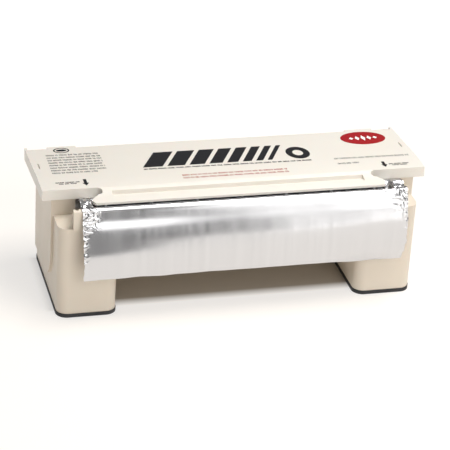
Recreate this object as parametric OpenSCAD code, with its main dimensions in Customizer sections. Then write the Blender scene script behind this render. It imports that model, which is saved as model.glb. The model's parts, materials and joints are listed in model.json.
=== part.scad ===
// Countertop film and foil dispenser: a one-piece base with two hollow legs, a hinged sprung lid
// with a front press bar and a hidden serrated blade, and a roll of foil threaded over the front rail.
// Millimetres, +Z up, the front faces -Y and the roll lies along X.
// Depths are measured from the front face of the lid's corners and then centred by placed().
// The lid is drawn lying flat about its hinge axis and then turned up by lid_tilt, where it rests.

/* [Lid] */
// Width of the lid, end to end
lid_w = 544; // [540:1:550]
// Depth of the lid, from the front face of its corners to its rear edge
lid_d = 150; // [149:0.5:151]
// Thickness of the lid's top plate and skirts
lid_wall = 3.2; // [2.8:0.1:3.4]
// Angle that the springs hold the lid up by, above fully pressed
lid_tilt = 4.2; // [3.8:0.1:4.4]
// Half width of the press bar in front of the lid
bar_half_w = 207; // [204:1:209]
// Half length of the finger groove in the press bar
groove_half_w = 178; // [150:1:182]

/* [Base] */
// Width over the two legs
base_w = 510; // [508:1:511]
// Width of one leg
leg_w = 83; // [80:1:86]
// Radius of the legs' upright corners
leg_r = 15; // [10:1:18]
// Wall thickness of the base
wall = 3.5; // [3:0.1:3.8]
// Height of the ledges on the legs, which carry the front rail
ledge_z = 137; // [136:0.5:138]
// Height of the base's rim
rim_z = 161; // [160:0.5:161.5]
// Underside of the trough between the legs
bridge_z = 58; // [54:1:61]

/* [Feet] */
// Thickness of the rubber under the legs
boot_h = 4.4; // [3:0.2:4.6]

/* [Roll] */
// Width of the foil, a standard 18 inch roll
foil_w = 457; // [440:1:458]
// Outer radius of the roll of foil
roll_r = 46; // [30:1:46]
// Sideways place of the roll on its long stub axles
roll_shift = 4; // [0:0.5:4]
// Height of the foil's cut edge over the surface
curtain_z = 64; // [58:1:90]

/* [Hidden] */
$fn = 48;
eps = 0.01;                              // overlap that joins two shapes of one solid

// Base
base_front_y = -38;                      // front of the legs
base_back_y = 147;                       // back of the base
bridge_front_y = -34.5;                  // front of the trough between the legs
base_half = base_w / 2;
leg_in = base_half - leg_w;              // inner face of a leg
leg_floor = 3.6;                         // floor of the hollow legs
recess_y = 5;                            // front of the low walls above the ledges
recess_in = 222;                         // where those walls end, seen from the middle
panel_t = 3.5;                           // raised end panels outside the legs
panel_back_y = 130;
rear_cut_y = 128;                        // the rim drops behind here, to let the lid's barrel turn
rear_rim_z = 149.5;

// Hinge
barrel_r = 10;                           // outer radius of the lid's rolled rear edge
hinge_y = lid_d - barrel_r;
hinge_z = 160;
pin_r = 3;
pin_play = 0.05;                         // running clearance of the lid on its pins
knuckle_r = 6;
lug_out = [232, 240];                    // outer lug of each hinge, as distances from the middle
lug_in = [200, 208];                     // inner lug
lid_knuckle = [208.5, 220.5];
spring_x = [221.4, 231];                 // room for the torsion spring

// Front rail
rail_half = 236;
rail_front_y = -42;
rail_back_y = -33.5;
rail_top_z = 165.5;
rail_round = 2.6;
rail_mid_y = (rail_front_y + rail_back_y) / 2;
rail_screw_x = [180, 231];               // distances of the rail's screws from the middle
rail_screw_y = -36.2;                    // over the front wall of the legs
rail_screw_z = 152;                      // seat of the screw heads, sunk in the rail
grip_half = 174;                         // half length of the grip strip
grip_w = 3;
grip_d = 1.4;

// Lid profile about the hinge axis, with the lid pressed flat
skirt_z = -7;                            // lower edge of the skirts
crease_y = -105.8;                       // the top bends down in front of this line
front_y = -140.9;                        // front face of the corners
front_top_z = 7.5;
bar_mid_y = -159.5;                      // the bar's slope eases here
bar_mid_z = 0.5;
bar_tip_y = -171.3;
bar_tip_z = -2.25;
bar_under_z = -5.5;
groove_back_y = -148;                    // the finger groove is deepest here
groove_floor_z = -1.1;
notch_r = 5.8;                           // finger notches beside the bar
notch_x = 196.4;
notch_y = -147.2;
arm_r = 9;                               // round tip of each arm of the bar
arm_y = bar_tip_y + 7;                   // middle of that round
arm_back_y = front_y - 19.5;             // rear edge of the arm at its tip
lid_in = lid_w / 2 - lid_wall;           // inner face of the side skirts
hinge_gap = [lug_in[0] - 0.6, lug_out[1] + 0.6];
hinge_cover_y = 8;                       // the flat top ends here over the hinges

badge_at = [217, -27];                   // middle of the oval label
badge_size = [33.5, 24];                 // its half width and half depth
badge_t = 0.3;

rib_x = [-150, -50, 50, 150];            // stiffening ribs under the top plate
hook_y = [-68, -51];                     // the side hooks lie between these depths
catch_y = [72, 89];                      // and meet these catches on the base

// Blade under the bar
blade_t = 0.8;
blade_y = -167.2;                        // front face of the blade
blade_top_z = -7.2;
blade_tip_z = -14;
tooth_pitch = 4;
tooth_depth = 2.6;
blade_half = 200;
carrier_t = 1.6;                         // thickness of the angle that carries the blade
carrier_screw_x = [-180, -90, 0, 90, 180];
carrier_screw_y = -160.6;
blade_screw_x = [-190, -127, -63, 0, 63, 127, 190];
blade_screw_z = -9.2;
blade_screw_r = 1;
screw_r = 1.5;
screw_head_r = 2.6;

// Roll and its saddles
axle_y = 64;
axle_z = 113;
core_in_r = 19;
core_out_r = 21;
stub_r = 6;
stub_play = 0.05;
saddle_x = [237, 251.5];
saddle_half = 15;                        // half depth of a saddle
saddle_slot = 9;                         // half depth between its two posts
saddle_low = 26;                         // its foot and its top, measured from the axle
saddle_high = 12;
saddle_back = 3.5;                       // plate against the end wall
saddle_screw_z = [axle_z - 21, axle_z - 13];
roll_end = foil_w / 2;

// Springs and bumpers
wire_r = 0.7;
coil_r = 5.1;
bumper_at = [243, 14.5];
bumper_stem_r = 2.2;
bumper_seat_z = 150;

// Foil between the roll and its cut edge
web_t = 0.4;
web_gap = 0.3;                           // air between the foil and what it rests on
bend_r = 1.4;                            // bend behind the rail
dip_r = 4;                               // bend at the bottom of the dip under the blade
dip_z = 146;

function bezier(p, t) = pow(1 - t, 3) * p[0] + 3 * t * pow(1 - t, 2) * p[1]
  + 3 * t * t * (1 - t) * p[2] + t * t * t * p[3];

// The foil is stiff enough to bow forwards where it leaves the rail: its cut edge is the first point
curtain_bow = [[-53, curtain_z], [-66, 115], [-52, rail_top_z + 3.4],
               [rail_back_y - 3, rail_top_z + web_gap + 1.5 * web_t]];

// Middle line of the foil, from its cut edge up over the rail, down behind it and back to the roll
web_line = concat(
  [for (i = [0 : 14]) bezier(curtain_bow, i / 14)],
  [for (a = [90 : -30 : 0])
    [rail_back_y + web_gap + web_t + bend_r * (cos(a) - 1) + 0.1, rail_top_z + 0.8 + bend_r * (sin(a) - 1)]],
  [for (a = [180 : 30 : 270]) [rail_back_y + 4.8 + dip_r * cos(a), dip_z + dip_r * sin(a)]],
  [[-16, dip_z - 3]],
  [for (a = [102 : -6 : 84])
    [axle_y + (roll_r + web_gap + web_t) * cos(a), axle_z + (roll_r + web_gap + web_t) * sin(a)]]
);

// Where the whole object starts and ends in depth
web_front_y = min([for (p = web_line) p[0]]) - web_t / 2;
rear_y = hinge_y + barrel_r * (cos(lid_tilt) + sin(lid_tilt));   // rear corner of the raised lid
mid_y = (rear_y + web_front_y) / 2;      // the origin stands under the middle of the box

// ---- helpers ----

module placed() translate([0, -mid_y, 0]) children();
module raised() translate([0, hinge_y, hinge_z]) rotate([-lid_tilt, 0, 0]) children();

// A profile drawn as [y, z] points, pushed along X from x0 to x1
module along_x(x0, x1) translate([x0, 0, 0]) rotate([90, 0, 90]) linear_extrude(x1 - x0) children();

module both_ends() {
  children();
  mirror([1, 0, 0]) children();
}

module box(x, y, z) translate([x[0], y[0], z[0]]) cube([x[1] - x[0], y[1] - y[0], z[1] - z[0]]);

// A rectangle with round corners, as true arcs
module round_rect(x, y, r) {
  translate([x[0] + r, y[0]]) square([x[1] - x[0] - 2 * r, y[1] - y[0]]);
  translate([x[0], y[0] + r]) square([x[1] - x[0], y[1] - y[0] - 2 * r]);
  for (cx = [x[0] + r, x[1] - r], cy = [y[0] + r, y[1] - r]) translate([cx, cy]) circle(r);
}

// A cylinder along X
module bar_x(x0, x1, r) translate([x0, 0, 0]) rotate([0, 90, 0]) cylinder(h = x1 - x0, r = r);

// ---- base ----

module leg_plan(inset) {
  round_rect([leg_in + inset, base_half - inset],
             [base_front_y + inset, base_back_y - inset], leg_r - inset);
}

module tub_plan(inset) intersection() {
  round_rect([-base_half + inset, base_half - inset],
             [base_front_y + inset, base_back_y - inset], leg_r - inset);
  union() {
    translate([-base_half, recess_y + inset]) square([base_w, base_back_y - recess_y]);
    translate([-recess_in - inset, base_front_y]) square([2 * (recess_in + inset), 60]);
  }
}

module bridge_profile(inset) {
  round_rect([bridge_front_y + inset, base_back_y - inset],
             [bridge_z + inset, bridge_z + 60], 10 - inset);
  translate([bridge_front_y + inset, bridge_z + 30])
    square([base_back_y - bridge_front_y - 2 * inset, ledge_z - bridge_z - 30]);
}

// Raised end panel: its lower front corner sweeps back into the leg
module end_panel() along_x(base_half - eps, base_half + panel_t) difference() {
  union() {
    translate([recess_y, 80]) square([panel_back_y - recess_y, rim_z - 80]);
    translate([recess_y + 50, 26]) square([panel_back_y - recess_y - 50, 60]);
    translate([recess_y + 54, 80]) circle(54);
  }
  translate([rear_cut_y, rear_rim_z]) square(40);
}

// Rib of the rim that the lid's hooks pass, with its small lip
module catch_rib() {
  box([base_half - wall, base_half + panel_t], catch_y, [rim_z - eps, rim_z + 4.5]);
  box([base_half + panel_t - eps, base_half + panel_t + 2.2], catch_y, [rim_z + 1, rim_z + 4.5]);
}

module hinge_lug(x) translate([0, hinge_y, hinge_z]) {
  bar_x(x[0], x[1], knuckle_r);
  box(x, [-4, 5], [-14, 0]);
}

module bumper_seat() difference() {
  box([bumper_at[0] - 7, base_half - wall + eps], [recess_y + wall - eps, bumper_at[1] + 6.5],
      [bumper_seat_z, rim_z]);
  translate([bumper_at[0], bumper_at[1], bumper_seat_z - eps]) cylinder(h = 20, r = bumper_stem_r);
}

// Takes the tip of a rail screw, behind the front wall of a leg
module rail_boss(x) intersection() {
  translate([x, rail_screw_y, ledge_z - 16]) cylinder(h = 14, r = 4);
  box([x - 5, x + 5], [base_front_y + wall / 2, 0], [0, ledge_z]);
}

module base_housing() color("Linen") placed() difference() {
  union() {
    difference() {
      union() {
        both_ends() translate([0, 0, boot_h]) linear_extrude(ledge_z - boot_h) leg_plan(0);
        along_x(-leg_in - leg_r, leg_in + leg_r) intersection() {
          bridge_profile(0);
          translate([-60, 0]) square([250, ledge_z]);
        }
        translate([0, 0, ledge_z - eps]) linear_extrude(rim_z - ledge_z + eps) intersection() {
          tub_plan(0);
          translate([-300, recess_y]) square([600, 200]);
        }
      }
      both_ends() translate([0, 0, boot_h + leg_floor])
        linear_extrude(ledge_z - wall - boot_h - leg_floor) leg_plan(wall);
      along_x(-leg_in - wall - eps, leg_in + wall + eps) intersection() {
        bridge_profile(wall);
        translate([-60, 0]) square([250, ledge_z + 1]);
      }
      translate([0, 0, ledge_z - wall - eps]) linear_extrude(40) tub_plan(wall);
      box([-300, 300], [rear_cut_y, 200], [rear_rim_z, 200]);
    }
    both_ends() {
      end_panel();
      catch_rib();
      bumper_seat();
      hinge_lug(lug_in);
      hinge_lug(lug_out);
      for (x = rail_screw_x) rail_boss(x);
    }
  }
  both_ends() {
    translate([0, hinge_y, hinge_z]) bar_x(lug_in[0] - 1, lug_out[1] + 1, pin_r);
    for (x = rail_screw_x) translate([x, rail_screw_y, ledge_z - 13]) cylinder(h = 20, r = screw_r);
    for (z = saddle_screw_z) translate([0, axle_y, z]) bar_x(240, base_half + 2, screw_r);
  }
}

module boot(s) color("#1c1c1e") placed() scale_side(s) difference() {
  linear_extrude(boot_h + 1.4) leg_plan(-0.8);
  translate([0, 0, boot_h]) linear_extrude(10) leg_plan(0);
}

// The right-hand copy is drawn; the left-hand one is its mirror image
module scale_side(s) {
  if (s > 0) children();
  else mirror([1, 0, 0]) children();
}

module boot_left() boot(-1);
module boot_right() boot(1);

// ---- front rail ----

module front_rail() color("Linen") placed() difference() {
  along_x(-rail_half, rail_half) {
    round_rect([rail_front_y, rail_back_y], [ledge_z, rail_top_z], rail_round);
    translate([rail_front_y, ledge_z]) square([rail_back_y - rail_front_y, 12]);
  }
  box([-grip_half, grip_half], [rail_mid_y - grip_w / 2, rail_mid_y + grip_w / 2],
      [rail_top_z - grip_d, rail_top_z + 1]);
  both_ends() for (x = rail_screw_x) translate([x, rail_screw_y, 0]) {
    translate([0, 0, ledge_z - eps]) cylinder(h = 20, r = screw_r);
    translate([0, 0, rail_screw_z]) cylinder(h = 20, r = screw_head_r);
  }
}

module rail_grip() color("DimGray") placed()
  box([-grip_half, grip_half], [rail_mid_y - grip_w / 2, rail_mid_y + grip_w / 2],
      [rail_top_z - grip_d, rail_top_z + 0.2]);

// A screw that points up, with its head below
module pan_screw(shank, head_r) {
  cylinder(h = shank, r = screw_r);
  translate([0, 0, -1.8]) cylinder(h = 1.8, r = head_r);
}

module rail_screws() color("Silver") placed() both_ends() for (x = rail_screw_x)
  translate([x, rail_screw_y, rail_screw_z]) mirror([0, 0, 1])
    pan_screw(rail_screw_z - ledge_z + 12, screw_head_r - 0.1);

// ---- lid ----

// Everything under the lid's top surface, down to the skirts' lower edge
module lid_envelope() polygon([
  [barrel_r, skirt_z], [barrel_r, barrel_r], [crease_y, barrel_r],
  [front_y, front_top_z], [front_y, skirt_z]
]);

module lid_hollow() polygon([
  [40, skirt_z - 9], [40, barrel_r - lid_wall], [crease_y, barrel_r - lid_wall],
  [front_y + lid_wall, front_top_z - lid_wall + 0.2], [front_y + lid_wall, skirt_z - 9]
]);

// The rear edge curls round the hinge axis
module barrel_profile() {
  intersection() {
    difference() {
      circle(barrel_r);
      circle(barrel_r - lid_wall);
    }
    polygon([[0, 0], [0, 20], [20, 20], [20, -14]]);
  }
}

module bar_profile() polygon([
  [front_y + 2, front_top_z + 0.1], [front_y, front_top_z], [bar_mid_y, bar_mid_z],
  [bar_tip_y, bar_tip_z], [bar_tip_y + 0.2, bar_under_z], [front_y + 2, bar_under_z]
]);

module groove_profile() polygon([
  [groove_back_y, 20], [groove_back_y, groove_floor_z], [bar_mid_y, bar_mid_z], [bar_mid_y, 20]
]);

// Half of the bar seen from above; the arm's tip is round and its rear edge slants
module bar_plan_half() difference() {
  union() {
    translate([-eps, bar_tip_y - 1]) square([bar_half_w - arm_r + eps, front_y + 3 - bar_tip_y]);
    translate([bar_half_w - arm_r, arm_y]) circle(arm_r);
    polygon([[bar_half_w - arm_r - 1, arm_y], [bar_half_w, arm_y],
             [bar_half_w - 1, arm_back_y], [notch_x, notch_y - notch_r], [180, front_y - 4]]);
  }
  translate([notch_x, notch_y]) circle(notch_r);
  polygon([[notch_x, front_y + 0.5], [notch_x - 1.2, notch_y + notch_r],
           [notch_x - 2, notch_y], [notch_x + 0.5, notch_y - notch_r],
           [bar_half_w - 1, arm_back_y], [bar_half_w + 12, arm_back_y],
           [bar_half_w + 12, front_y + 0.5]]);
}

module lid_hook() {
  box([261.6, 264.2], hook_y, [-6.4, barrel_r - lid_wall + eps]);
  box([261.2, 262], hook_y, [-6.4, -3.4]);
}

module lid() color("FloralWhite") placed() raised() difference() {
  union() {
    difference() {
      along_x(-lid_w / 2, lid_w / 2) lid_envelope();
      along_x(-lid_in, lid_in) lid_hollow();
      // the barrel closes the rear edge, except over the hinges, where the flat top goes on
      box([-hinge_gap[0], hinge_gap[0]], [0, 20], [skirt_z - 1, 20]);
      both_ends() {
        box([hinge_gap[1], lid_in], [0, 20], [skirt_z - 1, 20]);
        box(hinge_gap, [hinge_cover_y, 20], [-20, 20]);
      }
    }
    along_x(-hinge_gap[0], hinge_gap[0]) barrel_profile();
    both_ends() along_x(hinge_gap[1], lid_in + eps) barrel_profile();
    intersection() {
      along_x(-bar_half_w - 1, bar_half_w + 1) bar_profile();
      translate([0, 0, -30]) linear_extrude(60) {
        bar_plan_half();
        mirror([1, 0]) bar_plan_half();
      }
    }
    both_ends() {
      bar_x(lid_knuckle[0], lid_knuckle[1], knuckle_r);
      box(lid_knuckle, [-9, 0], [knuckle_r - 4, barrel_r - 1]);
      lid_hook();
    }
    for (x = rib_x) box([x - 1.2, x + 1.2], [-136, -14], [barrel_r - lid_wall - 4, barrel_r - lid_wall + 0.5]);
  }
  along_x(-groove_half_w, groove_half_w) groove_profile();
  for (x = carrier_screw_x) translate([x, carrier_screw_y, bar_under_z - eps]) cylinder(h = 4, r = screw_r);
  both_ends() {
    bar_x(lid_knuckle[0] - 1, lid_knuckle[1] + 1, pin_r + pin_play);
    // narrow slots that form the hooks
    box([262.2, 263.8], hook_y, [barrel_r - lid_wall - 2, 20]);
  }
}

// Oval label stuck on the lid's top
module oval_badge() color("Crimson") placed() raised() translate([badge_at[0], badge_at[1], barrel_r])
  linear_extrude(badge_t)
    polygon([for (a = [0 : 7.5 : 352.5]) [badge_size[0] * cos(a), badge_size[1] * sin(a)]]);

// ---- blade ----

module blade_carrier() color("Silver") placed() raised() difference() {
  along_x(-blade_half - 2, blade_half + 2) {
    translate([blade_y + blade_t, bar_under_z - carrier_t]) square([9.4, carrier_t]);
    translate([blade_y + blade_t, -11.6]) square([2, 5]);
  }
  for (x = carrier_screw_x) translate([x, carrier_screw_y, -12]) cylinder(h = 12, r = screw_r);
  for (x = blade_screw_x) translate([x, blade_y - 3, blade_screw_z]) rotate([-90, 0, 0])
    cylinder(h = 8, r = blade_screw_r);
}

module carrier_screws() color("Silver") placed() raised() for (x = carrier_screw_x)
  translate([x, carrier_screw_y, bar_under_z - carrier_t]) pan_screw(5, 3);

// Cutting edge: a saw tooth line along the lower edge
module blade_outline() {
  teeth = 2 * blade_half / tooth_pitch;
  polygon(concat(
    [[blade_half, blade_top_z], [-blade_half, blade_top_z]],
    [for (i = [0 : teeth - 1]) each [
      [-blade_half + i * tooth_pitch, blade_tip_z + tooth_depth],
      [-blade_half + (i + 0.5) * tooth_pitch, blade_tip_z]]],
    [[blade_half, blade_tip_z + tooth_depth]]));
}

module blade() color("LightSteelBlue") placed() raised() difference() {
  translate([0, blade_y + blade_t, 0]) rotate([90, 0, 0]) linear_extrude(blade_t) blade_outline();
  for (x = blade_screw_x) translate([x, blade_y - 3, blade_screw_z]) rotate([-90, 0, 0])
    cylinder(h = 8, r = blade_screw_r);
}

module blade_screws() color("Silver") placed() raised() for (x = blade_screw_x)
  translate([x, blade_y, blade_screw_z]) rotate([-90, 0, 0]) {
    cylinder(h = blade_t + 2, r = blade_screw_r);
    translate([0, 0, -1]) cylinder(h = 1, r = 1.9);
  }

// ---- hinge ----

module hinge_pin(s) color("Silver") placed() translate([0, hinge_y, hinge_z]) scale_side(s) {
  bar_x(lug_in[0] - 0.2, lug_out[1] + 2.4, pin_r);
  bar_x(lug_in[0] - 1.8, lug_in[0], 4.6);
}

module hinge_pin_left() hinge_pin(-1);
module hinge_pin_right() hinge_pin(1);

module hinge_retainers() color("Gray") placed() translate([0, hinge_y, hinge_z]) both_ends()
  difference() {
    bar_x(lug_out[1], lug_out[1] + 1.2, 5.4);
    bar_x(lug_out[1] - 1, lug_out[1] + 3, pin_r);
  }

// Torsion spring: close coils round the pin, one leg under the lid and one inside the back wall
module lid_spring(s) color("Gray") placed() translate([0, hinge_y, hinge_z]) scale_side(s) {
  translate([spring_x[0], 0, 0]) rotate([0, 90, 0]) rotate_extrude() coil_section();
  translate([spring_x[0] + wire_r, 0, coil_r]) rotate([91, 0, 0]) cylinder(h = 34, r = wire_r);
  translate([spring_x[1] - wire_r - 0.1, -coil_r, 0]) rotate([180, 0, 0]) cylinder(h = 26, r = wire_r);
}

// Section of the close coils, scalloped like wire lying side by side
module coil_section() {
  turns = 6;
  pitch = (spring_x[1] - spring_x[0]) / turns;
  polygon(concat(
    [for (i = [0 : turns - 1], a = [30 : 30 : 150])
      [coil_r + wire_r * sin(a), (i + 0.5) * pitch - pitch / 2 * cos(a)]],
    [[coil_r - wire_r, turns * pitch], [coil_r - wire_r, 0]]));
}

module lid_spring_left() lid_spring(-1);
module lid_spring_right() lid_spring(1);

module lid_bumpers() color("#2a2a2c") placed() both_ends()
  translate([bumper_at[0], bumper_at[1], 0]) {
    translate([0, 0, rim_z]) cylinder(h = 3.6, r = 4);
    translate([0, 0, bumper_seat_z + 1]) cylinder(h = rim_z - bumper_seat_z, r = bumper_stem_r);
  }

// ---- roll ----

module saddle(s) color("WhiteSmoke") placed() scale_side(s) difference() {
  union() {
    box(saddle_x, [axle_y - saddle_half, axle_y + saddle_half], [axle_z - saddle_low, axle_z]);
    box(saddle_x, [axle_y - saddle_half, axle_y - saddle_slot], [axle_z - 1, axle_z + saddle_high]);
    box(saddle_x, [axle_y + saddle_slot, axle_y + saddle_half], [axle_z - 1, axle_z + saddle_high]);
    box([saddle_x[1] - saddle_back, saddle_x[1]], [axle_y - saddle_half, axle_y + saddle_half],
        [axle_z - saddle_low, axle_z + saddle_high]);
  }
  translate([0, axle_y, axle_z]) bar_x(saddle_x[0] - 1, saddle_x[1] - saddle_back, stub_r + stub_play);
  box([saddle_x[0] - 1, saddle_x[1] - saddle_back],
      [axle_y - stub_r - stub_play, axle_y + stub_r + stub_play], [axle_z, axle_z + 20]);
  for (z = saddle_screw_z) translate([0, axle_y, z]) {
    bar_x(saddle_x[0] - 1, saddle_x[1] + 1, screw_r);
    bar_x(saddle_x[0] - 1, saddle_x[0] + 4, 3.1);
  }
}

module saddle_left() saddle(-1);
module saddle_right() saddle(1);

module saddle_screws() color("Silver") placed() both_ends() for (z = saddle_screw_z)
  translate([0, axle_y, z]) {
    bar_x(saddle_x[0] + 2.2, base_half + 1, screw_r);
    bar_x(saddle_x[0] + 2.2, saddle_x[0] + 4, 3);
  }

// Plug pressed into the core's end, with a long stub axle that turns in the saddle
module core_plug(s) color("WhiteSmoke") placed() translate([0, axle_y, axle_z]) scale_side(s) {
  bar_x(roll_end + s * roll_shift - 24, roll_end + s * roll_shift + 0.5, core_in_r);
  bar_x(roll_end + s * roll_shift + 0.3, roll_end + s * roll_shift + 2.8, 27);
  bar_x(roll_end + s * roll_shift + 2, saddle_x[1] - 4.2, stub_r);
}

module core_plug_left() core_plug(-1);
module core_plug_right() core_plug(1);

module roll_core() color("BurlyWood") placed() translate([roll_shift, axle_y, axle_z]) difference() {
  bar_x(-roll_end, roll_end, core_out_r);
  bar_x(-roll_end - 1, roll_end + 1, core_in_r);
}

module foil_roll() color("Silver") placed() translate([roll_shift, axle_y, axle_z]) difference() {
  bar_x(-roll_end, roll_end, roll_r);
  bar_x(-roll_end - 1, roll_end + 1, core_out_r);
}

// ---- foil that is drawn off the roll ----

function turn_left(v) = [-v[1], v[0]] / norm(v);
function side_at(p, i) = turn_left(p[min(i + 1, len(p) - 1)] - p[max(i - 1, 0)]);

module ribbon(p, t) polygon(concat(
  [for (i = [0 : len(p) - 1]) p[i] + side_at(p, i) * t / 2],
  [for (i = [len(p) - 1 : -1 : 0]) p[i] - side_at(p, i) * t / 2]));

// Seen from above the foil is narrower where its edges are gathered in the finger notches
web_side = [
  [roll_end, -80], [roll_end, -38], [roll_end - 4, -31], [214, -14],
  [214, 12], [roll_end, 24], [roll_end, 90]
];
module web_plan() translate([roll_shift, 0]) polygon(concat(
  web_side, [for (i = [len(web_side) - 1 : -1 : 0]) [-web_side[i][0], web_side[i][1]]]));

module foil_web() color("Silver") placed() intersection() {
  along_x(-260, 260) ribbon(web_line, web_t);
  linear_extrude(200) web_plan();
}

base_housing();
boot_left();
boot_right();
front_rail();
rail_grip();
rail_screws();
lid();
oval_badge();
blade_carrier();
carrier_screws();
blade();
blade_screws();
hinge_pin_left();
hinge_pin_right();
hinge_retainers();
lid_spring_left();
lid_spring_right();
lid_bumpers();
saddle_left();
saddle_right();
saddle_screws();
core_plug_left();
core_plug_right();
roll_core();
foil_roll();
foil_web();
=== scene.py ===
"""Looks of the countertop film and foil dispenser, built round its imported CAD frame.

The scene is in metres, +Z up, with the front to -Y. The print and the foil are laid out in
millimetres. A depth d counts back from the front face of the lid's corners.
"""

import json
import math
import random

import bpy
import numpy as np
from mathutils import Matrix, Vector, noise


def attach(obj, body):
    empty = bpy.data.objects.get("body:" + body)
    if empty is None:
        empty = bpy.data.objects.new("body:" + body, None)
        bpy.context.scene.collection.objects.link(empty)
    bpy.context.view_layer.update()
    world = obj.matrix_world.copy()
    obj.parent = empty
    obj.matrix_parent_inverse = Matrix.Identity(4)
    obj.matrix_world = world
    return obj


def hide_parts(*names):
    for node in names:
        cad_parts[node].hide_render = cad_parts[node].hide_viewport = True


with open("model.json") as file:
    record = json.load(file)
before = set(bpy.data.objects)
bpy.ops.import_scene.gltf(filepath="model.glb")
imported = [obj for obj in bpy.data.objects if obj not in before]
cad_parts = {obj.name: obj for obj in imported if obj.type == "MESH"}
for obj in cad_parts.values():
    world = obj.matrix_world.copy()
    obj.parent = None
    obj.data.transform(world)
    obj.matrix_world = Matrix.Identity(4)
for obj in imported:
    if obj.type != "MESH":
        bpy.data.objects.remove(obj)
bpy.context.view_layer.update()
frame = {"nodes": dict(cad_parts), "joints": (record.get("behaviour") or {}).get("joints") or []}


# ---------------------------------------------------------------- measures
def joint_place(name):
    return Vector(next(joint for joint in frame["joints"] if joint["name"] == name)["pos_m"])


HINGE = joint_place("lid_hinge")
AXLE = joint_place("roll_spin")
HINGE_DEPTH = 0.140                 # depth of the hinge axis
LID_TILT = math.radians(4.2)        # how far above flat the lid rests
LID_TOP = 0.010                     # height of the top over the hinge axis, with the lid flat
CREASE = 0.1058                     # distance of the top's bend in front of the hinge
LID_FRONT = 0.1409                  # distance of the top's front edge
LID_FRONT_TOP = 0.0075              # height of the front edge over the hinge axis
CREASE_SLOPE = (LID_TOP - LID_FRONT_TOP) / (LID_FRONT - CREASE)

PRINT_LIFT = 0.00012                # ink stands this far off the lid
LABEL_LIFT = 0.00042                # and this far where it is on the label

ROLL_SHIFT = 0.004                  # the roll sits this far to the right of the middle
FOIL_HALF = 0.2285                  # half the foil's width
TEETH = 4.0                         # mm between the blade's teeth, which have cut the foil's edge
CUT = 3                             # mm of foil that the saw cut reaches into

SHADE_MIDDLE, SHADE_SLENDER = 0.014, 0.29    # the patch of floor under the object where its shadow falls, kept dark as a painted shadow by leaving the floor's glow out there
SHADE_EDGE = (0.058, 0.078)                  # half its depth, where it starts to fade and where it is gone


def depth(d):
    """Scene Y of a depth in metres."""
    return d - HINGE_DEPTH + HINGE.y


def smooth(t, a=0.0, b=1.0):
    """Eases from 0 at a to 1 at b."""
    t = min(max((t - a) / (b - a), 0.0), 1.0)
    return t * t * (3 - 2 * t)


# ---------------------------------------------------------------- shader helpers
def nodes_of(name):
    """A new material, its node tree and its shader."""
    material = bpy.data.materials.new(name)
    material.use_nodes = True
    tree = material.node_tree
    return material, tree, tree.nodes["Principled BSDF"]


def set_inputs(node, values):
    for name, value in values.items():
        node.inputs[name].default_value = value


def add(tree, kind, values=None, **props):
    node = tree.nodes.new(kind)
    for name, value in props.items():
        setattr(node, name, value)
    set_inputs(node, values or {})
    return node


def coords(tree, scale=(1, 1, 1)):
    """Object coordinates, scaled by axis."""
    place = add(tree, "ShaderNodeTexCoord")
    mapping = add(tree, "ShaderNodeMapping", {"Scale": scale})
    tree.links.new(place.outputs["Object"], mapping.inputs["Vector"])
    return mapping.outputs["Vector"]


def split(tree, vector):
    node = add(tree, "ShaderNodeSeparateXYZ")
    tree.links.new(vector, node.inputs["Vector"])
    return node.outputs


def maths(tree, operation, a, b):
    node = add(tree, "ShaderNodeMath", operation=operation)
    tree.links.new(a, node.inputs[0])
    tree.links.new(b, node.inputs[1])
    return node.outputs["Value"]


def vector_maths(tree, operation, vector, constant=None):
    node = add(tree, "ShaderNodeVectorMath", operation=operation)
    tree.links.new(vector, node.inputs[0])
    if constant:
        node.inputs[1].default_value = constant
    return node.outputs["Value" if operation == "LENGTH" else "Vector"]


def noise_tex(tree, vector, scale, detail=3.0, rough=0.55):
    node = add(tree, "ShaderNodeTexNoise", {"Scale": scale, "Detail": detail, "Roughness": rough})
    tree.links.new(vector, node.inputs["Vector"])
    return node.outputs["Fac"]


def spread(tree, value, low=0.0, high=1.0, from_low=0.3, from_high=0.7):
    """Maps a value between two bounds, by default the middle of a noise's range, to low ... high."""
    node = add(tree, "ShaderNodeMapRange",
               {"From Min": from_low, "From Max": from_high, "To Min": low, "To Max": high})
    tree.links.new(value, node.inputs["Value"])
    return node.outputs["Result"]


def mix_colour(tree, fac, a, b):
    node = add(tree, "ShaderNodeMix", data_type="RGBA")
    node.inputs["A"].default_value = (*a, 1)
    node.inputs["B"].default_value = (*b, 1)
    tree.links.new(fac, node.inputs["Factor"])
    return node.outputs["Result"]


def vary_colour(tree, shader, fac, a, b):
    tree.links.new(mix_colour(tree, fac, a, b), shader.inputs["Base Color"])


def vary_roughness(tree, shader, value, low, high):
    tree.links.new(spread(tree, value, low, high), shader.inputs["Roughness"])


def bump(tree, shader, height, strength, distance, below=None):
    """Bumps the shader's surface, on top of an earlier bump if one is given."""
    node = add(tree, "ShaderNodeBump", {"Strength": strength, "Distance": distance})
    tree.links.new(height, node.inputs["Height"])
    if below is not None:
        tree.links.new(below, node.inputs["Normal"])
    tree.links.new(node.outputs["Normal"], shader.inputs["Normal"])
    return node.outputs["Normal"]


# ---------------------------------------------------------------- materials
def plastic(name, colour, shade, rough=(0.34, 0.46), grain=0.16):
    """Moulded plastic: a fine spark-eroded grain, slow waves from moulding and faint uneven sheen."""
    material, tree, shader = nodes_of(name)
    place = coords(tree)
    vary_colour(tree, shader, spread(tree, noise_tex(tree, place, 9, 4)), colour, shade)
    vary_roughness(tree, shader, noise_tex(tree, place, 34, 5), *rough)
    wave = bump(tree, shader, noise_tex(tree, place, 7, 1), 0.10, 0.002)
    bump(tree, shader, noise_tex(tree, place, 1500, 2), grain, 0.00006, wave)
    set_inputs(shader, {"Subsurface Weight": 0.05, "Subsurface Scale": 0.002, "Specular IOR Level": 0.5})
    return material


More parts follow.
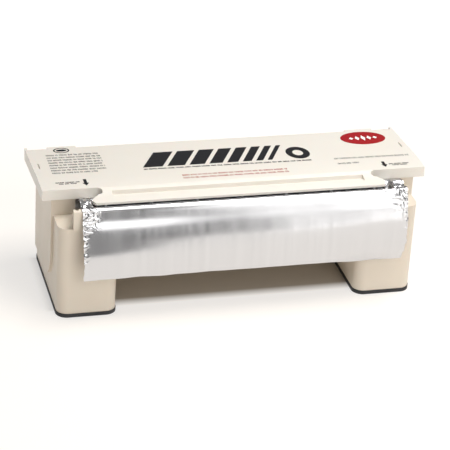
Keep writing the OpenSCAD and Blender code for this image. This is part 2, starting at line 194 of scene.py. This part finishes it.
def rubber(name, colour):
    """Matt rubber with a little dust on it."""
    material, tree, shader = nodes_of(name)
    place = coords(tree)
    dusty = tuple(c * 1.9 + 0.012 for c in colour)
    dust = spread(tree, noise_tex(tree, place, 60, 5), 0, 1, 0.4, 0.75)
    vary_colour(tree, shader, dust, colour, dusty)
    vary_roughness(tree, shader, noise_tex(tree, place, 90, 3), 0.5, 0.72)
    bump(tree, shader, noise_tex(tree, place, 900, 2), 0.25, 0.0001)
    return material


def metal(name, colour, rough, stretch=(1, 1, 1)):
    """Metal whose fine scratches run along the axis with the smallest stretch."""
    material, tree, shader = nodes_of(name)
    set_inputs(shader, {"Metallic": 1})
    scratches = noise_tex(tree, coords(tree, stretch), 260, 4, 0.6)
    darker = tuple(c * 0.82 for c in colour)
    vary_colour(tree, shader, spread(tree, scratches), colour, darker)
    vary_roughness(tree, shader, scratches, rough * 0.75, rough * 1.3)
    bump(tree, shader, scratches, 0.35, 0.00002)
    return material


def flat_print(name, colour, rough=0.4):
    """Printing ink, slightly uneven in strength."""
    material, tree, shader = nodes_of(name)
    thin = tuple(c * 1.15 + 0.004 for c in colour)
    vary_colour(tree, shader, spread(tree, noise_tex(tree, coords(tree), 300, 3)), colour, thin)
    set_inputs(shader, {"Roughness": rough, "Specular IOR Level": 0.12})
    return material


def wound_card():
    """Card of the core: a mottle of short fibres."""
    material, tree, shader = nodes_of("core_card")
    place = coords(tree)
    fibres = spread(tree, noise_tex(tree, place, 220, 6))
    vary_colour(tree, shader, fibres, (0.44, 0.31, 0.19), (0.56, 0.42, 0.27))
    set_inputs(shader, {"Roughness": 0.85})
    bump(tree, shader, noise_tex(tree, place, 500, 3), 0.3, 0.0002)
    return material


def rolled_foil():
    """Bright rolled aluminium, with faint rolling lines down its length."""
    material, tree, shader = nodes_of("foil")
    set_inputs(shader, {"Metallic": 1})
    lines = noise_tex(tree, coords(tree, (1, 0.02, 0.02)), 150, 4, 0.6)
    vary_colour(tree, shader, spread(tree, lines), (0.650, 0.650, 0.665), (0.630, 0.630, 0.645))
    vary_roughness(tree, shader, lines, 0.20, 0.25)
    fine = bump(tree, shader, lines, 0.06, 0.00003)
    bump(tree, shader, noise_tex(tree, coords(tree), 45, 3), 0.03, 0.0006, fine)
    return material


def foil_windings():
    """The roll's ends: the edges of many windings, as rings round its axle."""
    material, tree, shader = nodes_of("foil_windings")
    set_inputs(shader, {"Metallic": 1})
    away = vector_maths(tree, "SUBTRACT", coords(tree), (0, AXLE.y, AXLE.z))
    radius = vector_maths(tree, "LENGTH", vector_maths(tree, "MULTIPLY", away, (0, 1, 1)))
    rings = add(tree, "ShaderNodeTexNoise", {"Scale": 2600.0, "Detail": 2.0}, noise_dimensions="1D")
    tree.links.new(radius, rings.inputs["W"])
    vary_colour(tree, shader, rings.outputs["Fac"], (0.84, 0.84, 0.85), (0.66, 0.66, 0.68))
    vary_roughness(tree, shader, rings.outputs["Fac"], 0.3, 0.55)
    bump(tree, shader, rings.outputs["Fac"], 0.5, 0.0003)
    return material


def glowing_floor_painted_shadow():
    """Floor that glows a little, a painted light, everywhere but under the object, which leaves a painted
    shadow there over the real one; it glows more far off and behind.
    """
    material, tree, shader = nodes_of("floor")
    # a dark, warm base colour, so that where the glow is left out the painted shadow reads brown
    set_inputs(shader, {"Base Color": (0.40, 0.36, 0.31, 1), "Roughness": 0.9})
    set_inputs(shader, {"Emission Color": (1, 1, 1, 1)})
    place = coords(tree)
    # painted shadow: the glow is left out of a patch round the object's footprint and fades in at its edge
    shifted = vector_maths(tree, "SUBTRACT", place, (0.0, SHADE_MIDDLE, 0.0))
    scaled = vector_maths(tree, "MULTIPLY", shifted, (SHADE_SLENDER, 1.0, 0.0))
    reach = split(tree, vector_maths(tree, "ABSOLUTE", scaled))
    clear = spread(tree, maths(tree, "MAXIMUM", reach["X"], reach["Y"]), 0.0, 0.64, *SHADE_EDGE)
    # more painted glow far off and behind the object
    far = spread(tree, vector_maths(tree, "LENGTH", place), 0.0, 0.30, 1.2, 3.0)
    rear = spread(tree, split(tree, place)["Y"], 0.0, 0.3, 0.3, 1.4)
    painted_glow = maths(tree, "ADD", maths(tree, "ADD", clear, far), rear)
    tree.links.new(painted_glow, shader.inputs["Emission Strength"])
    return material


def give(material, *names):
    """Gives CAD pieces their material."""
    for name in names:
        mesh = frame["nodes"][name].data
        mesh.materials.clear()
        mesh.materials.append(material)


body_cream = plastic("abs_body", (0.760, 0.680, 0.572), (0.730, 0.645, 0.536))
lid_white = plastic("abs_lid", (0.800, 0.760, 0.695), (0.785, 0.742, 0.672), (0.30, 0.42), 0.12)
boot_black = rubber("boot_rubber", (0.016, 0.016, 0.018))
strip_grey = rubber("strip_rubber", (0.09, 0.09, 0.10))
screw_zinc = metal("screw_steel", (0.60, 0.60, 0.61), 0.32)
pin_steel = metal("pin_steel", (0.62, 0.63, 0.64), 0.22, (0.05, 1, 1))
spring_steel = metal("spring_steel", (0.30, 0.30, 0.31), 0.35)
blade_steel = metal("blade_steel", (0.66, 0.67, 0.69), 0.24, (0.04, 1, 1))
carrier_alu = metal("carrier_aluminium", (0.72, 0.72, 0.73), 0.36, (0.03, 1, 1))
nylon = plastic("nylon", (0.82, 0.81, 0.76), (0.78, 0.77, 0.71), (0.42, 0.55), 0.08)
core_card = wound_card()
foil = rolled_foil()
foil_end = foil_windings()
print_black = flat_print("print_black", (0.016, 0.016, 0.018))
print_grey = flat_print("print_grey", (0.12, 0.115, 0.11))
print_red = flat_print("print_red", (0.36, 0.045, 0.035))
badge_red = flat_print("badge_red", (0.33, 0.011, 0.015), 0.22)
badge_white = flat_print("badge_white", (0.86, 0.85, 0.83), 0.25)

give(body_cream, "base_housing", "front_rail")
give(boot_black, "boot_left", "boot_right")
give(strip_grey, "rail_grip", "lid_bumpers")
give(screw_zinc, "rail_screws", "carrier_screws", "blade_screws", "saddle_screws")
give(lid_white, "lid")
give(badge_red, "oval_badge")
give(carrier_alu, "blade_carrier")
give(blade_steel, "blade")
give(pin_steel, "hinge_pin_left", "hinge_pin_right", "hinge_retainers")
give(spring_steel, "lid_spring_left", "lid_spring_right")
give(nylon, "saddle_left", "saddle_right", "core_plug_left", "core_plug_right")
give(core_card, "roll_core")
give(foil_end, "foil_roll")


# ---------------------------------------------------------------- edges of the CAD pieces
def soften(name, width, segments=3):
    """Rounds a CAD piece's edges with modifiers, which leave its own mesh alone."""
    piece = frame["nodes"][name]
    weld = piece.modifiers.new("weld", "WELD")
    weld.merge_threshold = 0.00001
    planar = piece.modifiers.new("planar", "DECIMATE")
    planar.decimate_type = "DISSOLVE"
    planar.angle_limit = math.radians(0.5)
    bevel = piece.modifiers.new("round", "BEVEL")
    bevel.width = width
    bevel.segments = segments
    bevel.limit_method = "ANGLE"
    bevel.angle_limit = math.radians(32)
    piece.modifiers.new("normals", "WEIGHTED_NORMAL")
    for polygon in piece.data.polygons:
        polygon.use_smooth = True


soften("base_housing", 0.0012)
soften("lid", 0.0010)
soften("front_rail", 0.0006)
soften("boot_left", 0.0008)
soften("boot_right", 0.0008)
soften("blade_carrier", 0.0003, 2)
soften("saddle_left", 0.0005, 2)
soften("saddle_right", 0.0005, 2)


# ---------------------------------------------------------------- print on the lid
def lid_point(x, d, lift):
    """Scene place of a point on the lid's top at rest, at x and depth d in metres, lifted off it."""
    back = (d - HINGE_DEPTH - LID_TOP * math.sin(LID_TILT)) / math.cos(LID_TILT)
    up = LID_TOP - max(0.0, -CREASE - back) * CREASE_SLOPE + lift
    c, s = math.cos(LID_TILT), math.sin(LID_TILT)
    return Vector((x, HINGE.y + back * c + up * s, HINGE.z - back * s + up * c))


def mesh_piece(name, verts, faces, material):
    """A new object in the scene, made of the given faces."""
    mesh = bpy.data.meshes.new(name)
    mesh.from_pydata([tuple(v) for v in verts], [], faces)
    mesh.materials.append(material)
    mesh.update()
    piece = bpy.data.objects.new(name, mesh)
    bpy.context.scene.collection.objects.link(piece)
    return piece


def print_marks(name, shapes, material, lift=PRINT_LIFT):
    """Flat printed shapes, each a list of (x, depth) corners in mm, or a pair of loops for a ring."""
    verts, faces = [], []
    for shape in shapes:
        first = len(verts)
        if isinstance(shape, tuple):
            outer, inner = shape
            n = len(outer)
            corners = outer + inner
            faces += [(first + i, first + (i + 1) % n, first + n + (i + 1) % n, first + n + i)
                      for i in range(n)]
        else:
            corners = shape
            faces.append(tuple(range(first, first + len(shape))))
        verts += [lid_point(x / 1000, d / 1000, lift) for x, d in corners]
    piece = mesh_piece(name, verts, faces, material)
    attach(piece, "lid")


def rect(x0, d0, x1, d1):
    return [(x0, d0), (x1, d0), (x1, d1), (x0, d1)]


def oval(x, d, half_x, half_d, n=40):
    turns = [2 * math.pi * i / n for i in range(n)]
    return [(x + half_x * math.cos(a), d + half_d * math.sin(a)) for a in turns]


def arrow(x, tail, tip, half=2.2, head_half=4.7, head=8.0):
    """Arrow to the front: a shaft 2 * half wide with a head of its own length and half width."""
    neck = tip + head
    return [(x - half, tail), (x - half, neck), (x - head_half, neck), (x, tip),
            (x + head_half, neck), (x + half, neck), (x + half, tail)]


def strokes(x0, x1, d, height, seed, drop=0.0, gap=0.75):
    """A row of short upright strokes in uneven groups, level at d, that falls by drop mm over its length."""
    draw = random.Random(seed)
    row, x = [], x0
    while x < x1 - 1.0:
        for _ in range(draw.randint(3, 9)):
            width = min(draw.uniform(0.5, 1.3), x1 - x)
            if width < 0.3:
                break
            middle = d - drop * (x - x0) / (x1 - x0)
            low, top = draw.choice((0.5, 0.5, 0.5, 0.62)), draw.choice((0.5, 0.5, 0.36))
            row.append(rect(x, middle - height * low, x + width, middle + height * top))
            x += width + gap
        x += 1.5
    return row


def small_print(*rows):
    """Several rows of strokes, each given as x0, x1, d, height, seed and, where needed, drop and gap."""
    return [stroke for row in rows for stroke in strokes(*row)]


# a wide emblem of bold slanting bars that end in a roll seen end-on
EMBLEM_NEAR, EMBLEM_FAR, EMBLEM_SLANT, BAR_GAP = 54, 106, 26, 6.6
emblem, bar_x = [], -122.0
for width in range(28, 6, -3):
    emblem.append([(bar_x, EMBLEM_NEAR), (bar_x + width, EMBLEM_NEAR),
                   (bar_x + width + EMBLEM_SLANT, EMBLEM_FAR), (bar_x + EMBLEM_SLANT, EMBLEM_FAR)])
    bar_x += width + BAR_GAP
emblem.append((oval(107, 74, 17, 22, 64), oval(107, 74, 7.5, 10, 64)))
print_marks("lid_emblem", emblem, print_black)

# a line under the emblem, two short lines beside each arrow, the arrows and a small oval mark
MARK_X, MARK_D = -222.5, 133.8
black_lines = small_print((-122, 119, 47.6, 4.0, 3, 3.0, 0.45),
                          (-250, -217, 20.8, 3.0, 6, 0, 0.4), (-246, -222, 16.6, 2.6, 16, 0, 0.4),
                          (224, 253.5, 16.2, 3.0, 7, 0, 0.4), (228, 250, 12.2, 2.6, 17, 0, 0.4))
arrows = [arrow(-209.5, 27.5, 8.5), arrow(217, 24.5, 7.5)]
small_mark = [(oval(MARK_X, MARK_D, 11.4, 9.4), oval(MARK_X, MARK_D, 9.4, 7.5)),
              oval(MARK_X, MARK_D, 7.6, 3.8)]
print_marks("lid_small_print", black_lines + arrows + small_mark, print_black)

# two grey lines on the right and a block of eight on the left, the last of them shorter
grey_lines = small_print((152, 264, 43.5, 5.4, 4, 1.5, 0.9), (152, 183, 26.5, 4.2, 5))
for i in range(8):
    right_end = -172 if i < 7 else -186
    grey_lines += strokes(-247 - 0.3 * i, right_end, 117.5 - 9.2 * i, 4.6, 20 + i, 1.4, 0.6)
print_marks("lid_grey_print", grey_lines, print_grey)

red_lines = small_print((-73.5, 76, 21.0, 4.0, 11), (-73.8, 77, 12.8, 4.0, 12))
print_marks("lid_red_print", red_lines, print_red)

# white figure on the oval label: a row of diamonds, the tallest in the middle
LABEL_X, LABEL_D, DIAMOND_HALF, DIAMOND_PITCH = 217.2, 113.6, 3.4, 9
figure = []
for i in range(-2, 3):
    x, reach = LABEL_X + DIAMOND_PITCH * i, 10.5 - 3 * abs(i)
    figure.append([(x - DIAMOND_HALF, LABEL_D), (x, LABEL_D - reach), (x + DIAMOND_HALF, LABEL_D),
                   (x, LABEL_D + reach)])
print_marks("badge_figure", figure, badge_white, LABEL_LIFT)


# ---------------------------------------------------------------- the foil
CURTAIN_ROWS, BACK_ROWS, COLS = ((150, 130, 520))
ROWS = CURTAIN_ROWS + BACK_ROWS - 1


def lengths(points):
    """How far along the line each of its points is."""
    return np.r_[0, np.cumsum(np.linalg.norm(np.diff(points, axis=0), axis=1))]


def even(points, n):
    """The same line with n points, spaced evenly along it."""
    along = lengths(points)
    at = np.linspace(0, along[-1], n)
    return np.c_[np.interp(at, along, points[:, 0]), np.interp(at, along, points[:, 1])]


def through(points, n=8):
    """A smooth line through the points, with n steps from each to the next."""
    p = np.array([points[0]] + list(points) + [points[-1]], float)
    out = []
    for i in range(1, len(p) - 2):
        for w in np.arange(n) / n:
            out.append(0.5 * (2 * p[i] + (p[i + 1] - p[i - 1]) * w
                              + (2 * p[i - 1] - 5 * p[i] + 4 * p[i + 1] - p[i + 2]) * w ** 2
                              + (3 * p[i] - p[i - 1] - 3 * p[i + 1] + p[i + 2]) * w ** 3))
    return np.array(out + [p[-2]])


def arc(d, z, radius, degrees):
    return [(d + radius * math.cos(a), z + radius * math.sin(a)) for a in np.radians(degrees)]


# the hanging foil in profile (depth, z) from its cut edge up to the back of the rail's top
CURTAIN_LEFT = through([(-63.5, 70.5), (-64.0, 79), (-63.8, 90), (-62.0, 104), (-57.0, 121), (-51.5, 138),
                        (-46.5, 150), (-43.4, 160), (-41.8, 165.4), (-39, 167.0), (-34.4, 165.95)])
CURTAIN_MID = through([(-58.8, 68.5), (-60.3, 76), (-61.2, 88), (-60.5, 104), (-57.5, 122), (-53.0, 138),
                       (-48.5, 151), (-44.8, 161), (-42.4, 166.2), (-39.4, 167.5), (-34.4, 165.95)])
CURTAIN_RIGHT = through([(-45.5, 60.0), (-50.5, 69), (-57.0, 83), (-60.5, 100), (-59.5, 122), (-55.0, 141),
                         (-50.0, 153), (-45.5, 162), (-42.4, 166.4), (-39.4, 167.4), (-34.4, 165.95)])
# in the middle it dips behind the rail, under the blade
DIP = (arc(-34.1, 164.5, 1.4, [75, 45, 20, 0]) + [(-32.7, 161 - 3 * i) for i in range(5)]
       + arc(-28.7, 146, 4, [180, 205, 230, 255, 270]) + [(-22, 142.4), (-16, 143)])
# at the sides, beyond the blade, it stays high and is bunched up below the lid
HIGH_SIDE = [(-29, 167.6), (-22, 169.2), (-15, 168.2), (-9, 166.0), (-4, 163.7), (0, 162.0), (5, 159.6),
             (13, 156.6), (26, 155.0)]
# then it goes round the top of the roll, and the high way meets it further back
WOUND = arc(64, 113, 46.7, np.arange(126, 83, -3.5))
HIGH_WOUND = WOUND[6:]


def foil_line(u):
    """Middle line of the foil (depth, z), from cut edge to roll, at a place u = -1 ... 1 across it."""
    left, right = smooth(-u, 0.1, 1.0), smooth(u, 0.35, 1.0)
    curtain = CURTAIN_MID * (1 - left - right) + CURTAIN_LEFT * left + CURTAIN_RIGHT * right
    rail_back = [tuple(curtain[-1])]
    low_way = even(np.array(rail_back + DIP + WOUND), BACK_ROWS)
    high_way = even(np.array(rail_back + HIGH_SIDE + HIGH_WOUND), BACK_ROWS)
    # in front of the blade's ends only the outermost foil is high, further back the bunch spreads inwards
    inwards = [smooth(d, -13, -7) for d, _ in high_way]
    high = np.array([[smooth(abs(u), 0.910 - 0.075 * w, 0.935 - 0.055 * w)] for w in inwards])
    back = low_way * (1 - high) + high_way * high
    return np.r_[even(curtain, CURTAIN_ROWS), back[1:]]


def ripple(x, s, across, along, layer):
    """Soft waves between -1 and 1 over the foil, about as wide and long in mm as across and along say."""
    return noise.noise(Vector((x / across, s / along, layer)))


def crease(place):
    """Sharp-topped folds, 1 along their crests."""
    return 1 - 2.2 * abs(noise.noise(place))


def crumple(u, x, s, drop):
    """How far the foil stands out of its middle line, and how far it is pushed sideways, in mm.

    u and x are its place across, s its place along from the cut edge. The hanging part is drop long,
    up to the back of the rail's top.
    """
    side = smooth(abs(u), 0.87, 0.97)                        # 1 at the side edges, 0 inside
    rim = smooth(abs(u), 0.955, 1.0)
    on_rail = smooth(s, drop - 46, drop - 14) * (1 - smooth(s, drop + 2, drop + 8))
    behind = smooth(s, drop + 2, drop + 10) * (1 - 0.75 * smooth(s, drop + 20, drop + 30))
    hanging = 1 - smooth(s, drop - 30, drop)
    bunch = side * max(on_rail, behind)
    folds = Vector((x / 6.8 + 2 * ripple(x, s, 14, 17, 8), s / 9.5, 0.3))
    out = bunch * (1.35 * crease(folds) + 0.6 * crease(folds * 2.1 + Vector((5, 2, 1))))
    out += rim * (0.9 * ripple(x, s, 9, 7.5, 2) + 0.5 * ripple(x, s, 4, 3.2, 5))
    out += hanging * (0.5 * ripple(x, s, 120, 60, 4) + 0.06 * ripple(x, s, 22, 30, 6))
    gather = 14.0 * smooth(s, drop + 22, drop + 36) * (1 - smooth(s, drop + 60, drop + 80))
    sideways = -math.copysign(gather * smooth(abs(u), 0.86, 1.0), u)
    sideways += 1.6 * rim * ripple(u, s, 1, 8.5, 9) + 1.2 * side * bunch * ripple(x, s, 6, 6, 11)
    return out, sideways


def saw_cut(x, s):
    """How far the cut edge hangs down: small teeth on a slow wave, gone a little way up the foil."""
    tooth = abs((x / TEETH) % 1 - 0.5)
    return max(0.0, 1 - s / CUT) * (0.9 * tooth + 1.1 * ripple(x, 7, 34, 1, 0))


def foil_column(u):
    """The foil's points at a place u across it, from its cut edge to the roll, and its length in mm."""
    line = foil_line(u)
    along = lengths(line)
    drop = along[CURTAIN_ROWS - 1]                           # length of the curtain
    tangent = np.gradient(line, axis=0)
    tangent /= np.linalg.norm(tangent, axis=1)[:, None]
    x = u * FOIL_HALF * 1000
    points = []
    for s, (d, z), (along_d, along_z) in zip(along, line, tangent):
        out, sideways = crumple(u, x, s, drop)
        points.append((ROLL_SHIFT + (x + sideways) / 1000,
                       depth((d - along_z * out) / 1000),
                       (z - saw_cut(x, s) + along_d * out) / 1000))
    return points, along[-1]


places = [-1 + 2 * j / (COLS - 1) for j in range(COLS)]
columns = [foil_column(u) for u in places]
verts = [point for points, _ in columns for point in points]
faces = [(j * ROWS + i, (j + 1) * ROWS + i, (j + 1) * ROWS + i + 1, j * ROWS + i + 1)
         for j in range(COLS - 1) for i in range(ROWS - 1)]
web = mesh_piece("foil_sheet", verts, faces, foil)
for polygon in web.data.polygons:
    polygon.use_smooth = True
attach(web, "root")
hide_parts("foil_web")


# ---------------------------------------------------------------- floor and light
FLOOR_HALF = 9
corners = [(x, y, 0) for x, y in rect(-FLOOR_HALF, -FLOOR_HALF, FLOOR_HALF, FLOOR_HALF)]
floor = mesh_piece("floor", corners, [(0, 1, 2, 3)], glowing_floor_painted_shadow())
floor.location.z = -0.0002          # just clear of the rubber skirts


def area_light(name, place, target, size, power, colour):
    light = bpy.data.lights.new(name, "AREA")
    light.shape = "RECTANGLE"
    light.size, light.size_y = size
    light.energy = power
    light.color = colour
    lamp = bpy.data.objects.new(name, light)
    lamp.location = place
    lamp.rotation_euler = (Vector(target) - Vector(place)).to_track_quat("-Z", "Y").to_euler()
    bpy.context.scene.collection.objects.link(lamp)


area_light("overhead", (0.50, -0.20, 1.9), (0.0, 0.0, 0.1), (1.3, 0.8), 34, (1.0, 0.992, 0.98))
area_light("front", (0.50, -2.05, 1.3), (0.0, 0.0, 0.13), (1.5, 1.4), 16.0, (1.0, 0.99, 0.975))
area_light("card", (1.05, -1.95, 0.28), (0.1, 0, 0.1), (0.95, 0.5), 2.6, (1.0, 0.98, 0.95))


def studio_room():
    """Room light: bright above, dark towards the horizon."""
    world = bpy.data.worlds.new("studio")
    bpy.context.scene.world = world
    world.use_nodes = True
    tree = world.node_tree
    sky = tree.nodes["Background"]
    direction = split(tree, add(tree, "ShaderNodeTexCoord").outputs["Generated"])
    height = spread(tree, direction["Z"], 0, 1, 0.05, 0.75)
    colour = mix_colour(tree, height, (0.05, 0.05, 0.05), (0.34, 0.335, 0.325))
    tree.links.new(colour, sky.inputs["Color"])
    sky.inputs["Strength"].default_value = 1.0


studio_room()
bpy.context.scene.view_settings.view_transform = "Standard"

# ---------------------------------------------------------------- camera
YAW, PITCH, ROLL = -0.2760, 0.4866, 0.0626               # radians
DISTANCE = 2.78330                                       # from the point that it looks at
LOOKS_AT = Vector((-0.014333, depth(0.0), 0.106666))
SENSOR, LENS = 36, 160.16                                # mm

away = Vector((math.sin(YAW) * math.cos(PITCH), -math.cos(YAW) * math.cos(PITCH), math.sin(PITCH)))
level = (-away).cross(Vector((0, 0, 1))).normalized()
upright = level.cross(-away)
across = level * math.cos(ROLL) + upright * math.sin(ROLL)
over = upright * math.cos(ROLL) - level * math.sin(ROLL)
cam_data = bpy.data.cameras.new("camera")
cam_data.sensor_width = SENSOR
cam_data.lens = LENS
camera = bpy.data.objects.new("camera", cam_data)
turn = Matrix((across, over, away)).transposed().to_4x4()
camera.matrix_world = Matrix.Translation(LOOKS_AT + away * DISTANCE) @ turn
bpy.context.scene.collection.objects.link(camera)
bpy.context.scene.camera = camera
